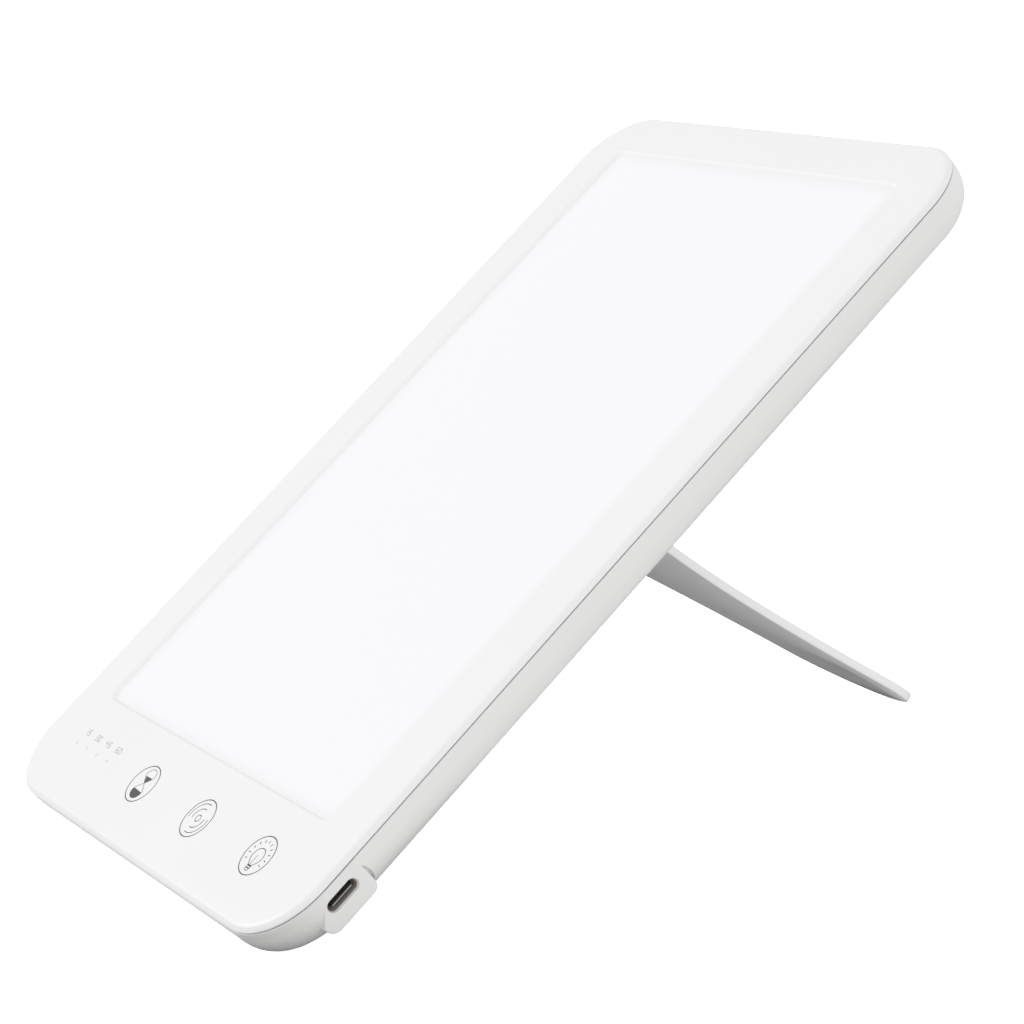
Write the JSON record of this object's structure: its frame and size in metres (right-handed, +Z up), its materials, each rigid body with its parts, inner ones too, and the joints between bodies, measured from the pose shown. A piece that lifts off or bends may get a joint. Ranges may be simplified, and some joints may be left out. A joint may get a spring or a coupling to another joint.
{
  "type": "bright light panel with kickstand",
  "caption": "Slim white rounded-rectangle light panel with a milky lit window, touch strip and side USB-C inlet, leaning back on a flared tongue-shaped fold-out kickstand.",
  "frame": {"origin": "on the table, under the middle of the object's box as it stands on its kickstand", "axes": "+X across the panel towards the USB-C inlet, +Y from the panel's lower front edge towards the kickstand's tip, +Z up; the lit face looks towards -Y and up"},
  "size_m": [0.15, 0.2152, 0.1498],
  "materials": {
    "white_shell": "satin white ABS",
    "milk_diffuser": "milky translucent acrylic, lit from behind",
    "clear_sheet": "clear acrylic",
    "white_sheet": "matt white",
    "tray_metal": "mill finish",
    "led_package": "phosphor yellow",
    "green_board": "solder mask",
    "grey_rubber": "soft matt",
    "clear_pipe": "clear acrylic",
    "black_part": "black moulded plastic",
    "dark_grey_part": "blackened",
    "steel": "nickel plated",
    "ivory_plastic": "natural nylon",
    "red_wire": "PVC sleeve",
    "gold_contact": "gold flash"
  },
  "bodies": {
    "panel": {"front_cover": "white_shell", "screen_diffuser": "milk_diffuser", "prism_film": "clear_sheet", "light_guide": "clear_sheet", "reflector_sheet": "white_sheet", "backlight_tray": "tray_metal", "led_board_left": "white_sheet", "led_board_right": "white_sheet", "leds_left": "led_package", "leds_right": "led_package", "control_board": "green_board", "touch_pads": "grey_rubber", "indicator_leds": "led_package", "light_pipes": "clear_pipe", "control_chip": "black_part", "boost_inductor": "dark_grey_part", "filter_capacitors": "steel", "wire_sockets": "ivory_plastic", "led_wires": "red_wire", "usb_shell": "steel", "usb_tongue": "black_part", "usb_contacts": "gold_contact", "board_screws": "steel", "rear_shell": "white_shell", "case_screws": "steel", "rubber_feet": "grey_rubber", "hinge_brackets": "steel", "bracket_screws": "dark_grey_part", "hinge_washers": "ivory_plastic"},
    "stand": {"kickstand": "white_shell", "hinge_rod": "steel"}
  },
  "joints": [
    {"name": "kickstand_hinge", "type": "hinge", "parent": "panel", "child": "stand", "pos_m": [0, -0.0006, 0.07424], "axis": [1, 0, 0], "range_deg": [-108.67, 0]}
  ]
}
